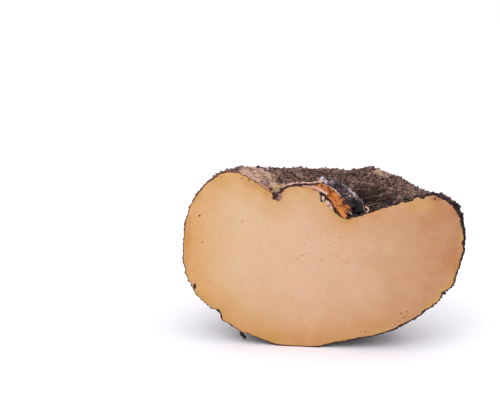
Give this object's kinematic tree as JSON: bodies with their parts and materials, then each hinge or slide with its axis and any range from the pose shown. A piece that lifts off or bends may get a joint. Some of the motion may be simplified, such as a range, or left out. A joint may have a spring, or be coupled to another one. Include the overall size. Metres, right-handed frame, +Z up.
{
  "type": "elephant foot yam half",
  "caption": "Half of a fresh elephant foot yam, sliced down through its dished crown: pale damp flesh in front, corky brown skin behind, standing on its flattened base.",
  "frame": {"origin": "middle of the bounding box's bottom, on the surface that the half stands on", "axes": "+Z up, +X to the right along the slice, -Y out of the slice, which leans back by 3 degrees"},
  "size_m": [0.2104, 0.0988, 0.1334],
  "materials": {
    "corm": "rough corky skin, with damp smooth flesh on the slice",
    "bud_tissue": "damp and fibrous",
    "papery_scale": "dry and bumpy",
    "dried_root": "dry and dull"
  },
  "bodies": {
    "root": {"corm_half": "corm", "bud_tissue": "bud_tissue", "bud_scale": "papery_scale", "crown_root_long": "dried_root", "crown_root_short": "dried_root", "rim_root_stub": "dried_root", "base_root_stub": "dried_root", "side_root_right": "dried_root", "side_root_back": "dried_root", "side_root_left": "dried_root"}
  },
  "joints": []
}
